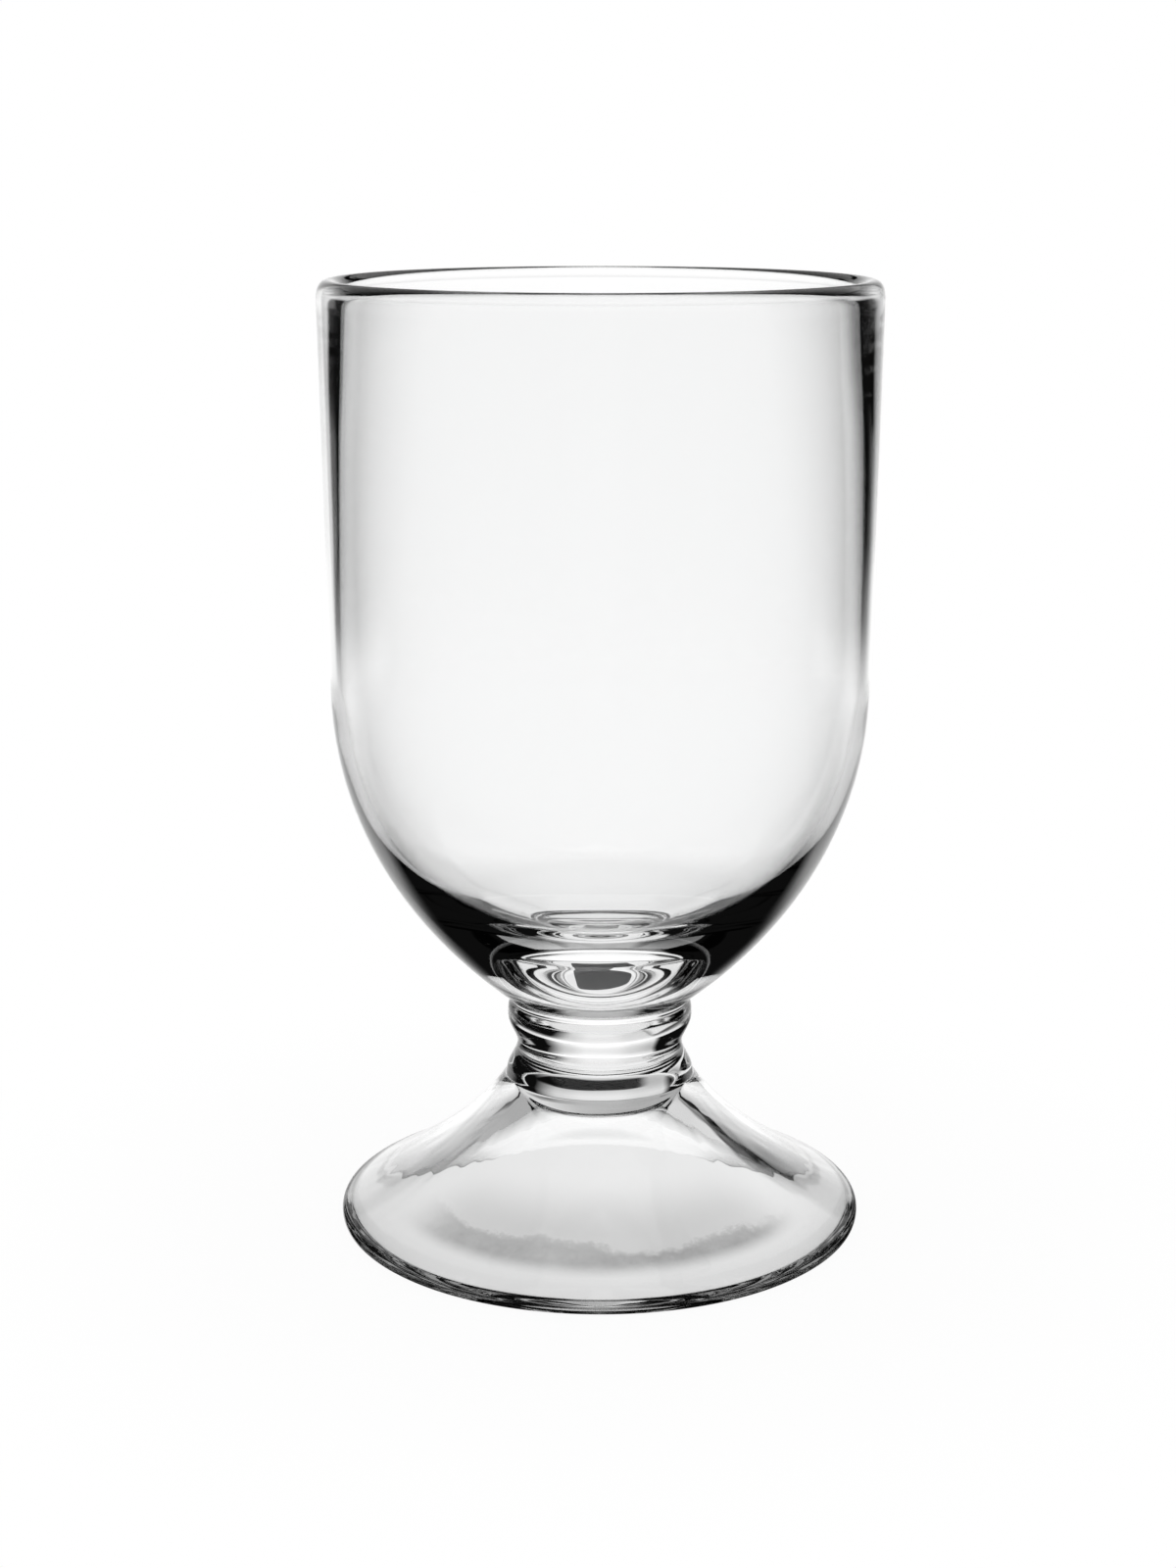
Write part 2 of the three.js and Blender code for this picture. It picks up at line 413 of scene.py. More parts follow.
def skin_of(radius, height, offset):
    """Point at (distance, angle): the profile's point, moved by the offset along the profile's
    outward normal (dz, -dr), and turned round the axis: x = r cos a, y = r sin a, z = z.
    In metres."""
    slope_radius = np.gradient(radius, station)
    slope_height = np.gradient(height, station)
    size = np.hypot(slope_radius, slope_height)
    r = radius[:, None] + offset * (slope_height / size)[:, None]
    z = height[:, None] - offset * (slope_radius / size)[:, None]
    return np.stack([r * np.cos(angle), r * np.sin(angle), z], axis=2) * MM


def normals_of(points):
    """Unit normal at each grid point: the slope round the axis crossed with the slope along the
    profile, and straight down and up at the two ends on the axis."""
    along = np.gradient(points, station, axis=0)
    around = np.roll(points, -1, axis=1) - np.roll(points, 1, axis=1)
    normal = np.cross(around, along)
    normal[0], normal[-1] = (0, 0, -1), (0, 0, 1)
    return normal / np.linalg.norm(normal, axis=2, keepdims=True)


skin = skin_of(radius, height, hand_mark)
skin_normal = normals_of(skin)
widest = np.hypot(skin[..., 0], skin[..., 1]).max() / MM
print("skin grid:", skin.shape, "widest radius %.3f mm" % widest)

# %% [markdown]
# ## Cutting the pieces from the skin
#
# A piece is a run of the skin's rings. At a seam it is closed by a flat disc, and on the axis the
# last ring closes on one point. Boolean cuts would leave slivers along the seams; taking whole
# rings leaves none, and the two discs that meet on a seam have the same points. The discs carry
# their own material, because a fused seam can't be seen.

# %% Faces of a run of rings


def grid_faces(rows, columns):
    """Four corners of each face between neighbouring rings: round one ring, then up to the next."""
    i = np.arange(rows - 1)[:, None] * columns
    j = np.arange(columns)[None, :]
    k = (j + 1) % columns
    return np.stack([i + j, i + k, i + columns + k, i + columns + j], axis=2).reshape(-1, 4)


def fan_faces(centre, first, columns, upward):
    """Three corners of each face between a centre point and the ring that starts at first."""
    j = np.arange(columns)
    k = (j + 1) % columns
    pair = (first + j, first + k) if upward else (first + k, first + j)
    return np.stack([np.full(columns, centre), *pair], axis=1)


def closed_faces(rows, columns):
    """Faces between the rings, and the fans that close them at both ends. The two centre points
    follow after the rings, the lower one first."""
    low = fan_faces(rows * columns, 0, columns, upward=False)
    high = fan_faces(rows * columns + 1, (rows - 1) * columns, columns, upward=True)
    return grid_faces(rows, columns), low, high


print("one ring has", FACETS_ROUND, "points")

# %% One piece of glass
DOWN, UP = np.array([0.0, 0.0, -1.0]), np.array([0.0, 0.0, 1.0])
SKIN_FINISH, SEAM_FINISH, HOLLOW_FINISH = 0, 1, 2


def mesh_object(name, points, faces):
    """An object at the origin, with a mesh of the points and of the arrays of faces."""
    mesh = bpy.data.meshes.new(name)
    mesh.from_pydata(points.tolist(), [], [face for part in faces for face in part.tolist()])
    made = bpy.data.objects.new(name, mesh)
    scene.collection.objects.link(made)
    return made


def cut_piece(name, first, last, hollow_rows=0):
    """Rings first to last of the skin as one closed mesh. The skin, the seam discs and the rings
    before hollow_rows, which are inside the foot, have a finish each."""
    low_pole, high_pole = first == 0, last == len(station) - 1
    rings = slice(first + low_pole, last + 1 - high_pole)
    points, normal = skin[rings], skin_normal[rings]
    rows = len(points)
    ends = np.array([[0, 0, skin[first, :, 2].mean()], [0, 0, skin[last, :, 2].mean()]])
    quads, low, high = closed_faces(rows, FACETS_ROUND)
    piece = mesh_object(name, np.concatenate([points.reshape(-1, 3), ends]), (quads, low, high))

    in_hollow = np.repeat(np.arange(rows - 1) + first < hollow_rows, FACETS_ROUND)
    pole_finish = HOLLOW_FINISH if hollow_rows else SKIN_FINISH
    finish = np.concatenate([
        np.where(in_hollow, HOLLOW_FINISH, SKIN_FINISH),
        np.full(FACETS_ROUND, pole_finish if low_pole else SEAM_FINISH),
        np.full(FACETS_ROUND, SKIN_FINISH if high_pole else SEAM_FINISH),
    ])
    piece.data.polygons.foreach_set("material_index", finish)
    piece.data.shade_smooth()

    point_normal = np.concatenate([normal.reshape(-1, 3), [DOWN, UP]])
    flat = (FACETS_ROUND, 3, 3)
    corners = [
        point_normal[quads],
        point_normal[low] if low_pole else np.broadcast_to(DOWN, flat),
        point_normal[high] if high_pole else np.broadcast_to(UP, flat),
    ]
    corner_normal = np.concatenate([corner.reshape(-1, 3) for corner in corners])
    piece.data.normals_split_custom_set(corner_normal.tolist())
    print(name, "has", 2 * len(quads) + 2 * FACETS_ROUND, "triangles")
    return piece


# %% The four glass pieces
foot_row, waist_row, bowl_row = seam_rows.tolist()
standing_row = int(np.argmin(height[:foot_row]))
flared_foot = cut_piece("flared_foot", 0, foot_row, standing_row)
waist_ring = cut_piece("waist_ring", foot_row, waist_row)
bead_ring = cut_piece("bead_ring", waist_row, bowl_row)
deep_bowl = cut_piece("deep_bowl", bowl_row, len(station) - 1)

# %% [markdown]
# ## The label
#
# Under the stem, on the flat top of the hollow, sticks a small blank label, a little askew. In the
# photograph it is seen twice bent, through the thick base of the bowl. A plain box would do for its
# size, but film that is punched out has round corners and a soft edge: here an outline, a rectangle
# with rounded corners, is carried along a short profile from the middle of the lower face over the
# edge to the middle of the upper face. Its dry glue leaves a film of air under the glass, a few
# hundredths of a millimetre thick, so the label is seen only by rays that can leave the glass
# there.

# %% Sizes of the label
label_low, label_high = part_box("base_label")
LABEL_HALF = np.array([6.0, 4.5])
LABEL_OUT = 2.5
LABEL_TURN = math.radians(-7)
LABEL_CORNER = 0.9
LABEL_EDGE = 0.06
AIR_FILM = 0.04
LABEL_TOP = label_high.z / MM - AIR_FILM
LABEL_BOTTOM = label_low.z / MM
print("label is %.2f mm thick" % (LABEL_TOP - LABEL_BOTTOM))

# %% The label's surface
LABEL_POINTS = 128
LABEL_FACE_RINGS, LABEL_EDGE_RINGS = 10, 9
LABEL_FACE_SHARES = (0.1, 0.95)


def label_outline(half, corner, turn):
    """Points round a rectangle with rounded corners: a circle of the corner's radius about a
    centre that jumps to the next corner each quarter turn, then turned about the middle."""
    quarter = np.linspace(0, np.pi / 2, LABEL_POINTS // 4)
    turns = (quarter[None, :] + np.arange(4)[:, None] * np.pi / 2).reshape(-1)
    sign = np.array([[1, 1], [-1, 1], [-1, -1], [1, -1]])
    centre = np.repeat(sign * (half - corner), LABEL_POINTS // 4, axis=0)
    flat = centre + corner * np.stack([np.cos(turns), np.sin(turns)], axis=1)
    spin = np.array([[math.cos(turn), -math.sin(turn)], [math.sin(turn), math.cos(turn)]])
    return flat @ spin.T


def label_rings():
    """Share of the outline and height of each ring: the lower face, half a circle over the edge,
    and the upper face."""
    arc = np.linspace(-np.pi / 2, np.pi / 2, LABEL_EDGE_RINGS)
    middle, half = (LABEL_TOP + LABEL_BOTTOM) / 2, (LABEL_TOP - LABEL_BOTTOM) / 2
    edge_share = 1 - LABEL_EDGE / LABEL_HALF.min() * (1 - np.cos(arc))
    face_share = np.linspace(*LABEL_FACE_SHARES, LABEL_FACE_RINGS)
    face_level = np.ones(LABEL_FACE_RINGS)
    share = np.concatenate([face_share, edge_share, face_share[::-1]])
    level = np.concatenate([-face_level, np.sin(arc), face_level])
    return share, middle + half * level


print("label outline has", LABEL_POINTS, "points")

# %% Make the label
outline = label_outline(LABEL_HALF, LABEL_CORNER, LABEL_TURN)
share, level = label_rings()
label_middle = LABEL_OUT * np.array([-math.sin(LABEL_TURN), math.cos(LABEL_TURN)])
label_flat = label_middle + share[:, None, None] * outline[None]
label_level = np.broadcast_to(level[:, None, None], (len(share), LABEL_POINTS, 1))
label_points = np.concatenate([label_flat, label_level], axis=2).reshape(-1, 3)
label_ends = np.array([[*label_middle, LABEL_BOTTOM], [*label_middle, LABEL_TOP]])
blank_label = mesh_object(
    "blank_label",
    np.concatenate([label_points, label_ends]) * MM,
    closed_faces(len(share), LABEL_POINTS),
)
blank_label.data.shade_smooth()
print("label has", len(blank_label.data.polygons), "faces")

# %% [markdown]
# ## Help with nodes
#
# Materials, the table and the world are all node trees. They could be wired by hand in the shader
# editor; written out, every link would take a line. A few short helpers keep their cells readable:
# one makes a node, one feeds a socket with a number, a colour or a link, and the others each make
# one step of arithmetic.

# %% Helpers that make nodes


def add(tree, kind, **settings):
    """A new node of that kind, with its settings."""
    node = tree.nodes.new(kind)
    for name, value in settings.items():
        setattr(node, name, value)
    return node


def feed(tree, socket, value):
    """Links a socket, or sets it to a plain value."""
    if isinstance(value, bpy.types.NodeSocket):
        tree.links.new(value, socket)
    else:
        socket.default_value = value


def feed_named(tree, node, values):
    """Feeds the sockets of a node by their names."""
    for name, value in values.items():
        feed(tree, node.inputs[name], value)


def axes_of(tree, vector):
    """The three parts of a vector."""
    node = add(tree, "ShaderNodeSeparateXYZ")
    feed(tree, node.inputs[0], vector)
    return node.outputs


print("node helpers ready")

# %% Helpers that calculate


def maths(tree, operation, *values):
    """One step of arithmetic on numbers or sockets."""
    node = add(tree, "ShaderNodeMath", operation=operation)
    for socket, value in zip(node.inputs, values):
        feed(tree, socket, value)
    return node.outputs[0]


def product(tree, first, *others):
    """All the values multiplied, one after the other."""
    for value in others:
        first = maths(tree, "MULTIPLY", first, value)
    return first


def greatest(tree, first, *others):
    """The greatest of the values."""
    for value in others:
        first = maths(tree, "MAXIMUM", first, value)
    return first


def smooth_step(tree, value, low, high, start=0.0, end=1.0):
    """A value that goes smoothly from start to end as the input goes from low to high."""
    node = add(tree, "ShaderNodeMapRange", interpolation_type="SMOOTHSTEP")
    span = {"Value": value, "From Min": low, "From Max": high, "To Min": start, "To Max": end}
    feed_named(tree, node, span)
    return node.outputs[0]


# The Mix node's sockets for colours come after those for numbers and for vectors.
MIX_SHARE, MIX_FIRST, MIX_SECOND, MIX_RESULT = 0, 6, 7, 2


def blend_colour(tree, share, first, second):
    """A colour between two, by a share from 0 to 1."""
    node = add(tree, "ShaderNodeMix", data_type="RGBA")
    for socket, value in ((MIX_SHARE, share), (MIX_FIRST, first), (MIX_SECOND, second)):
        feed(tree, node.inputs[socket], value)
    return node.outputs[MIX_RESULT]


def grey(level):
    """A colour with that level in red, green and blue."""
    return (level, level, level, 1.0)


print("arithmetic helpers ready")

# %% [markdown]
# ## Effects that several finishes share
#
# Three effects make the glass look handled and hand-made: the slow waves of a fire-polished
# surface, a dried film with ragged edges, such as wiping leaves, and a few dark seeds, tiny specks
# caught in the melt. Painted images would tie them to one size of picture; here each is a node
# group with its sizes as inputs, so every material can set its own.

# %% A group with sockets


def effect_group(name, inputs, output):
    """A shader node group with a vector input, number inputs and one number output."""
    group = bpy.data.node_groups.new(name, "ShaderNodeTree")
    group.interface.new_socket(name="Vector", in_out="INPUT", socket_type="NodeSocketVector")
    for label in inputs:
        group.interface.new_socket(name=label, in_out="INPUT", socket_type="NodeSocketFloat")
    group.interface.new_socket(name=output, in_out="OUTPUT", socket_type="NodeSocketFloat")
    return group, add(group, "NodeGroupInput").outputs, add(group, "NodeGroupOutput").inputs


def noise_of(tree, vector, size, **settings):
    """Noise from 0 to 1, in patches of about that size."""
    node = add(tree, "ShaderNodeTexNoise")
    scale = maths(tree, "DIVIDE", 1.0, size)
    feed_named(tree, node, {"Vector": vector, "Scale": scale, **settings})
    return node.outputs["Fac"]


print("group helpers ready")

# %% Slow waves of the polish
polish_waves, given, result = effect_group("polish_waves", ["Wave Length"], "Height")
wave_height = noise_of(polish_waves, given["Vector"], given["Wave Length"], Detail=1.0)
feed(polish_waves, result["Height"], wave_height)
print("group:", polish_waves.name)

# %% Dried film in a band round the axis
FILM_INPUTS = ["Patch Size", "Inner Radius", "Outer Radius", "Ragged"]
FILM_FADE = 0.003
FILM_DETAIL = {"Detail": 8.0, "Roughness": 0.68}

dried_film, given, result = effect_group("dried_film", FILM_INPUTS, "Mask")
tree = dried_film
across, away, _ = axes_of(tree, given["Vector"])
squares = [product(tree, axis, axis) for axis in (across, away)]
from_axis = maths(tree, "SQRT", maths(tree, "ADD", *squares))
film_noise = noise_of(tree, given["Vector"], given["Patch Size"], **FILM_DETAIL)
uneven = product(tree, maths(tree, "SUBTRACT", film_noise, 0.5), given["Ragged"])
ragged_edge = maths(tree, "ADD", given["Inner Radius"], uneven)
film_full = maths(tree, "ADD", ragged_edge, FILM_FADE)
film_start = smooth_step(tree, from_axis, ragged_edge, film_full)
film_thins = maths(tree, "SUBTRACT", given["Outer Radius"], FILM_FADE)
film_end = smooth_step(tree, from_axis, film_thins, given["Outer Radius"], 1.0, 0.0)
print("group:", dried_film.name)

# %% How thick the film is
DARKENING_REACH = 0.0095
DARKENING_SHARE = 0.4
FILM_SHARE = 0.85
MOTTLING = 70.0
FRONT_FADE = (-0.72, -0.35)

# Inside the film's inner edge the hollow grows darker towards the outside, smoothly, up to a share
# of the film's grey.
darkening_start = maths(tree, "SUBTRACT", given["Inner Radius"], DARKENING_REACH)
outward_darkening = smooth_step(tree, from_axis, darkening_start, given["Inner Radius"], 0.0, DARKENING_SHARE)
film_body = greatest(tree, outward_darkening, product(tree, film_start, FILM_SHARE))
mottled = product(tree, film_start, uneven, MOTTLING)
film_body = maths(tree, "ADD", film_body, mottled)
towards = maths(tree, "DIVIDE", away, from_axis)
left_on = smooth_step(tree, towards, *FRONT_FADE, 1.0, 0.0)
feed(tree, result["Mask"], product(tree, film_body, film_end, left_on))
print("film fades over %.1f mm" % (FILM_FADE / MM))

# %% Seeds in the melt
SEED_HEART = 0.6

melt_seeds, given, result = effect_group("melt_seeds", ["Spacing", "Size"], "Mask")
seed_cells = add(melt_seeds, "ShaderNodeTexVoronoi")
seed_scale = maths(melt_seeds, "DIVIDE", 1.0, given["Spacing"])
feed_named(melt_seeds, seed_cells, {"Vector": given["Vector"], "Scale": seed_scale})
seed_distance = product(melt_seeds, seed_cells.outputs["Distance"], given["Spacing"])
seed_heart = product(melt_seeds, given["Size"], SEED_HEART)
seed_mask = smooth_step(melt_seeds, seed_distance, seed_heart, given["Size"], 1.0, 0.0)
feed(melt_seeds, result["Mask"], seed_mask)
print("group:", melt_seeds.name)

# %% [markdown]
# ## Clear glass
#
# Soda glass bends light by an index of about 1.5. Its colour comes from what is behind it, so the
# finish is in small things: the bump of the polish, the film and the seeds. Glass BSDF would do for
# a clean piece; the Principled BSDF with full transmission is the one that the export can read.

# %% One glass material
GLASS_INDEX = 1.5
CLEAN = (0.995, 0.997, 0.997, 1.0)
FILM = grey(0.17)
FILM_ROUGHNESS = 0.06
SEED = grey(0.25)
SEED_SPACING = 0.012


def place_group(tree, group, vector, values):
    """A group in a material, with its own sizes."""
    node = add(tree, "ShaderNodeGroup", node_tree=group)
    feed_named(tree, node, {"Vector": vector, **values})
    return node.outputs[0]


def new_material(name):
    """A material with its node tree, its Principled BSDF and its Object coordinates."""
    material = bpy.data.materials.new(name)
    material.use_nodes = True
    tree = material.node_tree
    place = add(tree, "ShaderNodeTexCoord").outputs["Object"]
    print("material:", material.name)
    return material, tree, tree.nodes["Principled BSDF"], place


def add_bump(tree, shader, height, depth):
    """Small hills and hollows of that depth, by the height from 0 to 1."""
    bump = add(tree, "ShaderNodeBump")
    feed_named(tree, bump, {"Height": height, "Distance": depth})
    feed(tree, shader.inputs["Normal"], bump.outputs["Normal"])


def clear_glass(name, wave_length, wave_depth, seed_size, film=None):
    """Transparent glass with polish waves as bump and seeds on its colour, and, where it has a
    film, that film on its colour and roughness."""
    material, tree, glass, place = new_material(name)
    values = {"Transmission Weight": 1.0, "IOR": GLASS_INDEX, "Roughness": 0.0}
    feed_named(tree, glass, values)
    colour = CLEAN
    if film:
        film_mask = place_group(tree, dried_film, place, film)
        colour = blend_colour(tree, film_mask, CLEAN, FILM)
        feed(tree, glass.inputs["Roughness"], product(tree, film_mask, FILM_ROUGHNESS))
    seeds = {"Spacing": SEED_SPACING, "Size": seed_size}
    seed_mask = place_group(tree, melt_seeds, place, seeds)
    feed(tree, glass.inputs["Base Color"], blend_colour(tree, seed_mask, colour, SEED))
    waves = place_group(tree, polish_waves, place, {"Wave Length": wave_length})
    add_bump(tree, glass, waves, wave_depth)
    return material


print("glass bends light by an index of", GLASS_INDEX)

# %% The finishes of the parts of the glass
HOLLOW_FILM = {
    "Patch Size": 0.022, "Inner Radius": 0.0290, "Outer Radius": 0.0365, "Ragged": 0.016,
}

bowl_glass = clear_glass("bowl_glass", wave_length=0.022, wave_depth=0.00004, seed_size=0.00010)
stem_glass = clear_glass("stem_glass", wave_length=0.010, wave_depth=0.00003, seed_size=0.00010)
foot_glass = clear_glass("foot_glass", wave_length=0.014, wave_depth=0.00003, seed_size=0.00014)
hollow_glass = clear_glass(
    "hollow_glass", wave_length=0.014, wave_depth=0.00003, seed_size=0.00026, film=HOLLOW_FILM
)

# %% [markdown]
# ## Fused seams
#
# Where hot pieces are fused the glass is one: there is no face for light to bend at. The discs
# could be left out, but then the meshes would be open. They stay closed, and their seam discs get a
# material that is wholly transparent, so rays go straight through.

# %% The seam's material
fused_seam = bpy.data.materials.new("fused_seam")
fused_seam.use_nodes = True
fused_seam.node_tree.nodes["Principled BSDF"].inputs["Alpha"].default_value = 0.0
for piece, finishes in (
    (deep_bowl, [bowl_glass, fused_seam]),
    (bead_ring, [stem_glass, fused_seam]),
    (waist_ring, [stem_glass, fused_seam]),
    (flared_foot, [foot_glass, fused_seam, hollow_glass]),
):
    for finish in finishes:
        piece.data.materials.append(finish)
print("material:", fused_seam.name)

# %% [markdown]
# ## The label's film
#
# The label is dark grey matt film. Seen close, such film is never one grey: the coat is mottled,
# and it is worn paler along the edge. One plain grey would do from afar. Here the mottling is the
# shared noise at a fine scale, and the worn edge is read from the distance to the outline, worked
# out from Object coordinates turned square to the label.

# %% The label's material
MOTTLE_SIZE, MOTTLE_DEPTH = 0.0012, 0.00002
COAT_DARK, COAT_PALE = (0.062, 0.062, 0.064, 1), (0.115, 0.115, 0.117, 1)
WORN, WORN_SHARE = grey(0.22), 0.5
WORN_EDGE = (0.93, 1.0)
MOTTLE_SPAN, MATT_SPAN = (0.3, 0.7), (0.62, 0.78)

label_film, tree, coat, place = new_material("label_film")
squared = add(tree, "ShaderNodeMapping", vector_type="POINT")
square_to = {
    "Vector": place, "Rotation": (0, 0, -LABEL_TURN), "Location": (0, -LABEL_OUT * MM, 0),
}
feed_named(tree, squared, square_to)
label_shares = [
    maths(tree, "DIVIDE", maths(tree, "ABSOLUTE", axis), half * MM)
    for axis, half in zip(axes_of(tree, squared.outputs[0]), LABEL_HALF)
]
worn = smooth_step(tree, greatest(tree, *label_shares), *WORN_EDGE, 0.0, WORN_SHARE)
mottle = place_group(tree, polish_waves, squared.outputs[0], {"Wave Length": MOTTLE_SIZE})
coat_grey = blend_colour(tree, mottle, COAT_DARK, COAT_PALE)
feed(tree, coat.inputs["Base Color"], blend_colour(tree, worn, coat_grey, WORN))
feed(tree, coat.inputs["Roughness"], smooth_step(tree, mottle, *MOTTLE_SPAN, *MATT_SPAN))
add_bump(tree, coat, mottle, MOTTLE_DEPTH)
blank_label.data.materials.append(label_film)

# %% [markdown]
# ## Riding on the frame
#
# Nothing on the glass moves, so every piece rides on the one body. Each piece stands for a solid of
# the frame, which is then hidden, and the slot of the imported record is listed beside it.

# %% Tie the pieces to the frame
for piece, node, slot in (
    (deep_bowl, "bowl", "clear_glass"),
    (bead_ring, "upper_stem_ring", "clear_glass"),
    (waist_ring, "lower_stem_ring", "clear_glass"),
    (flared_foot, "foot", "clear_glass"),
    (blank_label, "base_label", "label"),
):
    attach(piece, "root")
    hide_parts(node)
    print(piece.name, "stands for", node)

# %% [markdown]
# ## Light for glass
#
# Glass is drawn by what it mirrors and bends, so it is lit through its surroundings: a wide white
# sheet behind it, a pale table, and dark elsewhere, which draws the black edges. Sheets and black
# flags could be built as objects, but they would get in the way of cameras on other sides. Here the
# world itself is painted by direction: rays that glass reflects or bends see the set, the camera
# sees plain white, and every other ray gets even soft light. Light Path also counts how often a ray
# was mirrored and how many faces bent it, so a sheet can be kept for the rays of one part of the
# glass, such as its two thin walls or the edge of the foot.

# %% Which rays see the set


def fewer_than(tree, count, limit):
    """1 where a whole number is below the limit, else 0."""
    return maths(tree, "LESS_THAN", count, limit - 0.5)


def at_least(tree, count, limit):
    """1 where a whole number is the limit or more, else 0."""
    return maths(tree, "GREATER_THAN", count, limit - 0.5)


def set_rays(tree):
    """The light path, and 1 for rays that a clear surface has sent on and that no matt surface has
    scattered before, else 0."""
    path = add(tree, "ShaderNodeLightPath").outputs
    sent_on = greatest(tree, path["Is Glossy Ray"], path["Is Transmission Ray"])
    return path, product(tree, sent_on, fewer_than(tree, path["Diffuse Depth"], 1))


print("light path helpers ready")

# %% Levels of the set


def blend_value(tree, share, first, second):
    """A number between two, by a share from 0 to 1: first + share (second - first)."""
    return maths(tree, "MULTIPLY_ADD", share, maths(tree, "SUBTRACT", second, first), first)


def below(tree, value, fade):
    """1 below a fade and 0 above it."""
    return smooth_step(tree, value, *fade, 1.0, 0.0)


def band(tree, value, start, end):
    """1 in a band: a smooth step up over the span start, times one down over the span end."""
    return product(tree, smooth_step(tree, value, *start), below(tree, value, end))


def level_by(tree, value, span, stops):
    """A brightness read from a ramp over the span, with the given (value, brightness) stops."""
    low, high = span
    node = add(tree, "ShaderNodeValToRGB")
    share = maths(tree, "DIVIDE", maths(tree, "SUBTRACT", value, low), high - low)
    feed(tree, node.inputs[0], share)
    elements = node.color_ramp.elements
    while len(elements) < len(stops):
        elements.new(1.0)
    for element, (where, brightness) in zip(elements, stops):
        element.position = (where - low) / (high - low)
        element.color = grey(brightness)
    return node.outputs[0]


print("level helpers ready")

# %% Where a ray looks and how it has come
BEARINGS, HEIGHTS = (-180, 180), (-1, 1)
TWO_WALLS_FACES = 4
OFTEN_MIRRORED, EDGE_MIRRORED = 2, 4


def empty_tree(owner):
    """The node tree of a world or a material, with nothing in it."""
    owner.use_nodes = True
    owner.node_tree.nodes.clear()
    return owner.node_tree


def bearing_of(tree, across, away):
    """Degrees from +Y towards +X, and the same without the sign."""
    bearing = product(tree, maths(tree, "ARCTAN2", across, away), 180 / math.pi)
    return bearing, maths(tree, "ABSOLUTE", bearing)


scene.world = bpy.data.worlds.new("studio_set")
tree = empty_tree(scene.world)
across, away, upward = axes_of(tree, add(tree, "ShaderNodeTexCoord").outputs["Generated"])
bearing, off_middle = bearing_of(tree, across, away)
path, sees_set = set_rays(tree)
mirrorings, bent = path["Glossy Depth"], path["Is Transmission Ray"]
straight = product(tree, bent, fewer_than(tree, mirrorings, 1))
two_walls = at_least(tree, path["Transmission Depth"], TWO_WALLS_FACES)
from_edge = product(tree, two_walls, fewer_than(tree, mirrorings, EDGE_MIRRORED))
print("world:", scene.world.name)

# %% The white sheet behind, by bearing and by height
SHEET_BEARINGS = [
    (-31, 0.0), (-29, 0.25), (-27, 0.85), (-14, 0.88), (-7, 1.0), (7, 1.0), (14, 0.84), (17, 0.8),
    (19, 0.69), (21.5, 0.48), (24.5, 0.24), (28, 0.0),
]
SHEET_HEIGHTS = [
    (-0.2, 1.0), (0.0, 0.98), (0.1, 0.84), (0.2, 0.7), (0.3, 0.5), (0.4, 0.45), (1.0, 0.4),
]
SHEET_STRENGTH = 1.1
GAP_START, GAP_END = (0.25, 0.272), (0.31, 0.335)
GAP_BEARINGS = [(-20, 0.0), (-15, 1.0), (27, 1.0), (33, 0.0)]
CORNER_BEARINGS, CORNER_HEIGHTS = (10, 17), (0.075, 0.12)

in_sector = level_by(tree, bearing, BEARINGS, SHEET_BEARINGS)
sheet = product(tree, in_sector, level_by(tree, upward, HEIGHTS, SHEET_HEIGHTS))
gap_sector = level_by(tree, bearing, BEARINGS, GAP_BEARINGS)
gap = product(tree, band(tree, upward, GAP_START, GAP_END), gap_sector)
corner = product(
    tree,
    smooth_step(tree, off_middle, *CORNER_BEARINGS),
    smooth_step(tree, upward, *CORNER_HEIGHTS),
    at_least(tree, mirrorings, OFTEN_MIRRORED),
)
missing = greatest(tree, gap, corner)
kept = maths(tree, "MULTIPLY_ADD", missing, -SHEET_STRENGTH, SHEET_STRENGTH)
sheet = product(tree, sheet, kept)
print("sheet spans", SHEET_BEARINGS[0][0], "to", SHEET_BEARINGS[-1][0], "degrees")

# %% The lit table below it and the pale ceiling above it
TABLE_STRENGTH = 0.9
DOWNWARD = (-0.24, -0.19)
NEAR_TABLE = (-0.68, -0.42)
CEILING_BEARINGS = [
    (-70, 0.0), (-45, 0.45), (-15, 0.45), (10, 0.55), (25, 0.75), (45, 0.75), (70, 0.0),
]
CEILING_START = (0.35, 0.40)

on_table = product(tree, in_sector, TABLE_STRENGTH)
back = blend_value(tree, below(tree, upward, DOWNWARD), sheet, on_table)
back = product(tree, back, greatest(tree, bent, smooth_step(tree, upward, *NEAR_TABLE)))
ceiling = product(
    tree,
    level_by(tree, bearing, BEARINGS, CEILING_BEARINGS),
    smooth_step(tree, upward, *CEILING_START),
    greatest(tree, fewer_than(tree, mirrorings, OFTEN_MIRRORED), from_edge),
)
print("table fades between", DOWNWARD)

# %% Sheets for the other sides
SIDE_BEARINGS = [
    (-114, 0.0), (-104, 0.9), (-76, 0.9), (-66, 0.0),
    (111, 0.0), (121, 0.9), (149, 0.9), (159, 0.0),
]
SIDE_TOP = (0.18, 0.28)
LOW_BEARINGS = [(-75, 0.0), (-64, 0.9), (-32, 0.9), (-26, 0.0)]
LOW_TOP = (-0.44, -0.39)

high_side, low_side = [
    product(tree, level_by(tree, bearing, BEARINGS, stops), below(tree, upward, top))
    for stops, top in ((SIDE_BEARINGS, SIDE_TOP), (LOW_BEARINGS, LOW_TOP))
]
side = product(tree, greatest(tree, high_side, low_side), straight)
print("side sheets reach up to", SIDE_TOP)

# %% What shows straight through two thin walls
THROUGH_LEVEL = 0.95
THROUGH_BEARINGS = [(-75, THROUGH_LEVEL), (-60, 0.0), (60, 0.0), (75, THROUGH_LEVEL)]
THROUGH_LOW, THROUGH_TOP = (-0.30, -0.24), (0.10, 0.20)

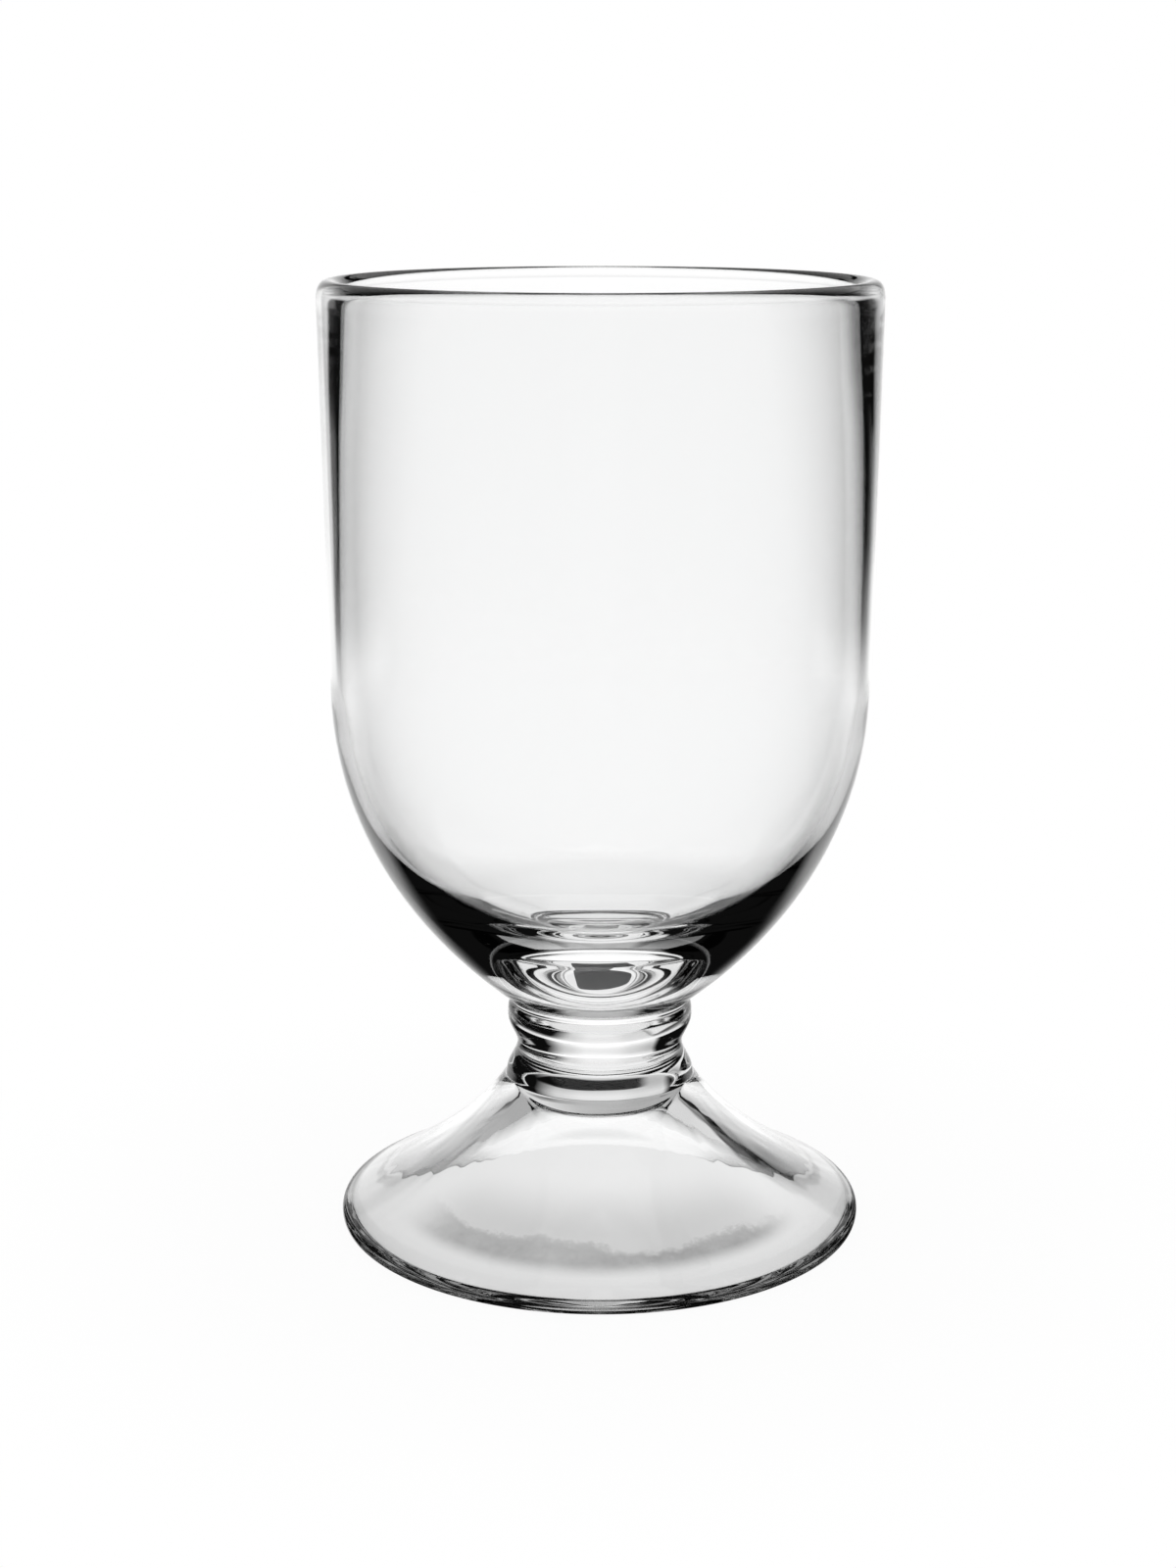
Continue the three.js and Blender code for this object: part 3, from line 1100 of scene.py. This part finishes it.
beside = level_by(tree, bearing, BEARINGS, THROUGH_BEARINGS)
wide = blend_value(tree, below(tree, upward, THROUGH_LOW), beside, THROUGH_LEVEL)
through = product(tree, wide, below(tree, upward, THROUGH_TOP), straight, two_walls)
print("thin walls show white below", THROUGH_TOP)

# %% Put the world together
ROOM = 0.004
SOFT_LIGHT = 0.95

set_level = greatest(tree, back, ceiling, side, through, ROOM)
soft_or_set = blend_value(tree, sees_set, SOFT_LIGHT, set_level)
background = add(tree, "ShaderNodeBackground")
strength = greatest(tree, soft_or_set, path["Is Camera Ray"])
feed_named(tree, background, {"Color": grey(1.0), "Strength": strength})
feed(tree, add(tree, "ShaderNodeOutputWorld").inputs["Surface"], background.outputs[0])
print("soft light:", SOFT_LIGHT)

# %% [markdown]
# ## The table
#
# The glass stands on a pale matt table. For the camera it keeps the soft shadow round the foot and
# fades to the white of the background. For rays that the glass sends on, one plain grey would wash
# out the black edges, so the table glows with painted light and shade, its level read from the place
# where they meet it. Under the glass it is painted shade, a little darker in front than behind, and
# rays that were mirrored find it painted dark to the sides. Round the foot it is open to the set,
# but for a painted pale ring of light at the foot's edge, kept for rays that were mirrored many
# times.
# Farther out it is bright again, behind the glass and, for rays straight through two walls, beside
# it
# too. It is a disc of rings: radius times the cosine and the sine of the angle.

# %% The table's disc
TABLE_RADIUS = 3.0
TABLE_RINGS, TABLE_FACETS = 24, 96
INNERMOST = 0.02
TABLE_GAP = 0.00002

ring_radius = TABLE_RADIUS * np.linspace(INNERMOST, 1, TABLE_RINGS)[:, None] ** 2
turn = np.linspace(0, 2 * np.pi, TABLE_FACETS, endpoint=False)
table_rings = np.stack([
    ring_radius * np.cos(turn),
    ring_radius * np.sin(turn),
    np.full((TABLE_RINGS, TABLE_FACETS), -TABLE_GAP),
], axis=2).reshape(-1, 3)
table_faces = grid_faces(TABLE_RINGS, TABLE_FACETS)[:, [0, 3, 2, 1]]
table_middle = fan_faces(len(table_rings), 0, TABLE_FACETS, upward=True)
table_points = np.concatenate([table_rings, [[0.0, 0.0, -TABLE_GAP]]])
table = mesh_object("table", table_points, (table_faces, table_middle))
print("table has", len(table.data.polygons), "faces")

# %% Where a ray meets the table
pale_table = bpy.data.materials.new("pale_table")
tree = empty_tree(pale_table)
place = add(tree, "ShaderNodeTexCoord").outputs["Object"]
from_middle = add(tree, "ShaderNodeVectorMath", operation="LENGTH")
feed(tree, from_middle.inputs[0], place)
reach_out = from_middle.outputs["Value"]
across, away, _ = axes_of(tree, place)
off_middle = bearing_of(tree, across, away)[1]
path, sees_set = set_rays(tree)
mirrorings = path["Glossy Depth"]
unmirrored = fewer_than(tree, mirrorings, 1)
print("material:", pale_table.name)

# %% The table under the glass
FOOTPRINT = (0.041, 0.043)
UNDER_FADE = (-0.02, 0.02)
PAINTED_SHADE_FRONT, PAINTED_SHADE_BACK = 0.77, 0.88
UNDER_MIRRORINGS = 7
MIRRORED_SPAN = (0.018, 0.026)

past_footprint = smooth_step(tree, reach_out, *FOOTPRINT)
in_span = below(tree, maths(tree, "ABSOLUTE", across), MIRRORED_SPAN)
# Painted shade of the glass on the table: a little darker in front than behind, and dark to the
# sides for rays that were mirrored.
under = product(
    tree,
    smooth_step(tree, away, *UNDER_FADE, PAINTED_SHADE_FRONT, PAINTED_SHADE_BACK),
    fewer_than(tree, mirrorings, UNDER_MIRRORINGS),
    greatest(tree, unmirrored, in_span),
)
print("table under the glass:", PAINTED_SHADE_FRONT, "in front,", PAINTED_SHADE_BACK, "behind")

# %% The table far out
FAR_START, FAR_END = (0.07, 0.14), (0.42, 0.82)
BACK_BEARINGS = [(0, 0.96), (18, 0.96), (32, 0.76), (52, 0.74), (64, 0.0)]
BACK_LEVEL, BACK_MIRRORINGS = 1.15, 3
ASIDE_LEVEL, ASIDE_BEARINGS = 1.05, (28, 40)

far_out = band(tree, reach_out, FAR_START, FAR_END)
behind = product(
    tree,
    level_by(tree, off_middle, (0, 180), BACK_BEARINGS),
    BACK_LEVEL,
    fewer_than(tree, mirrorings, BACK_MIRRORINGS),
)
aside = product(
    tree,
    smooth_step(tree, off_middle, *ASIDE_BEARINGS, 0.0, ASIDE_LEVEL),
    at_least(tree, path["Transmission Depth"], TWO_WALLS_FACES),
    unmirrored,
)
table_level = blend_value(tree, past_footprint, under, greatest(tree, behind, aside))
print("table far out:", BACK_LEVEL, "behind,", ASIDE_LEVEL, "beside")

# %% The table round the foot's edge
EDGE_LEVEL, EDGE_MIRRORINGS = 0.3, 5
EDGE_RING_START, EDGE_RING_END = (0.0422, 0.0426), (0.050, 0.054)

# A painted pale ring of light on the table round the foot's edge, seen only by rays that were
# mirrored many times.
edge_ring = band(tree, reach_out, EDGE_RING_START, EDGE_RING_END)
edge_ring = product(tree, edge_ring, at_least(tree, mirrorings, EDGE_MIRRORINGS))
table_level = blend_value(tree, edge_ring, table_level, EDGE_LEVEL)
closed = greatest(tree, far_out, edge_ring)
open_to_set = product(tree, past_footprint, maths(tree, "SUBTRACT", 1.0, closed))
print("table at the foot's edge:", EDGE_LEVEL)

# %% Mix the table's shaders
TABLE_GREY = grey(0.82)
SHADOW_FADE = (0.042, 0.13)
LEAST_WHITE = 0.94


def mix_shaders(tree, share, first, second):
    """Two shaders mixed by a share from 0, the first, to 1, the second."""
    node = add(tree, "ShaderNodeMixShader")
    for socket, value in zip(node.inputs, (share, first.outputs[0], second.outputs[0])):
        feed(tree, socket, value)
    return node


matt = add(tree, "ShaderNodeBsdfDiffuse")
feed(tree, matt.inputs["Color"], TABLE_GREY)
lit = add(tree, "ShaderNodeEmission")
feed(tree, lit.inputs["Strength"], table_level)
in_set = mix_shaders(tree, open_to_set, lit, add(tree, "ShaderNodeBsdfTransparent"))
seen = mix_shaders(tree, sees_set, matt, in_set)
whiter = smooth_step(tree, reach_out, *SHADOW_FADE, LEAST_WHITE, 1.0)
to_white = product(tree, whiter, path["Is Camera Ray"])
faded = mix_shaders(tree, to_white, seen, add(tree, "ShaderNodeEmission"))
feed(tree, add(tree, "ShaderNodeOutputMaterial").inputs["Surface"], faded.outputs[0])
table.data.materials.append(pale_table)
print("table is white from %.0f mm out" % (SHADOW_FADE[1] / MM))

# %% [markdown]
# ## Enough bounces
#
# Light crosses many faces on its way through the stem, and is mirrored inside the glass again and
# again. With the usual limits such paths stop and turn black, so the limits go up.

# %% Raise the limits
BOUNCES, MIRROR_BOUNCES, CLEAR_CROSSINGS = 24, 16, 64

scene.cycles.max_bounces = BOUNCES
scene.cycles.glossy_bounces = MIRROR_BOUNCES
scene.cycles.transmission_bounces = BOUNCES
scene.cycles.transparent_max_bounces = CLEAR_CROSSINGS
print("bounces:", scene.cycles.max_bounces)
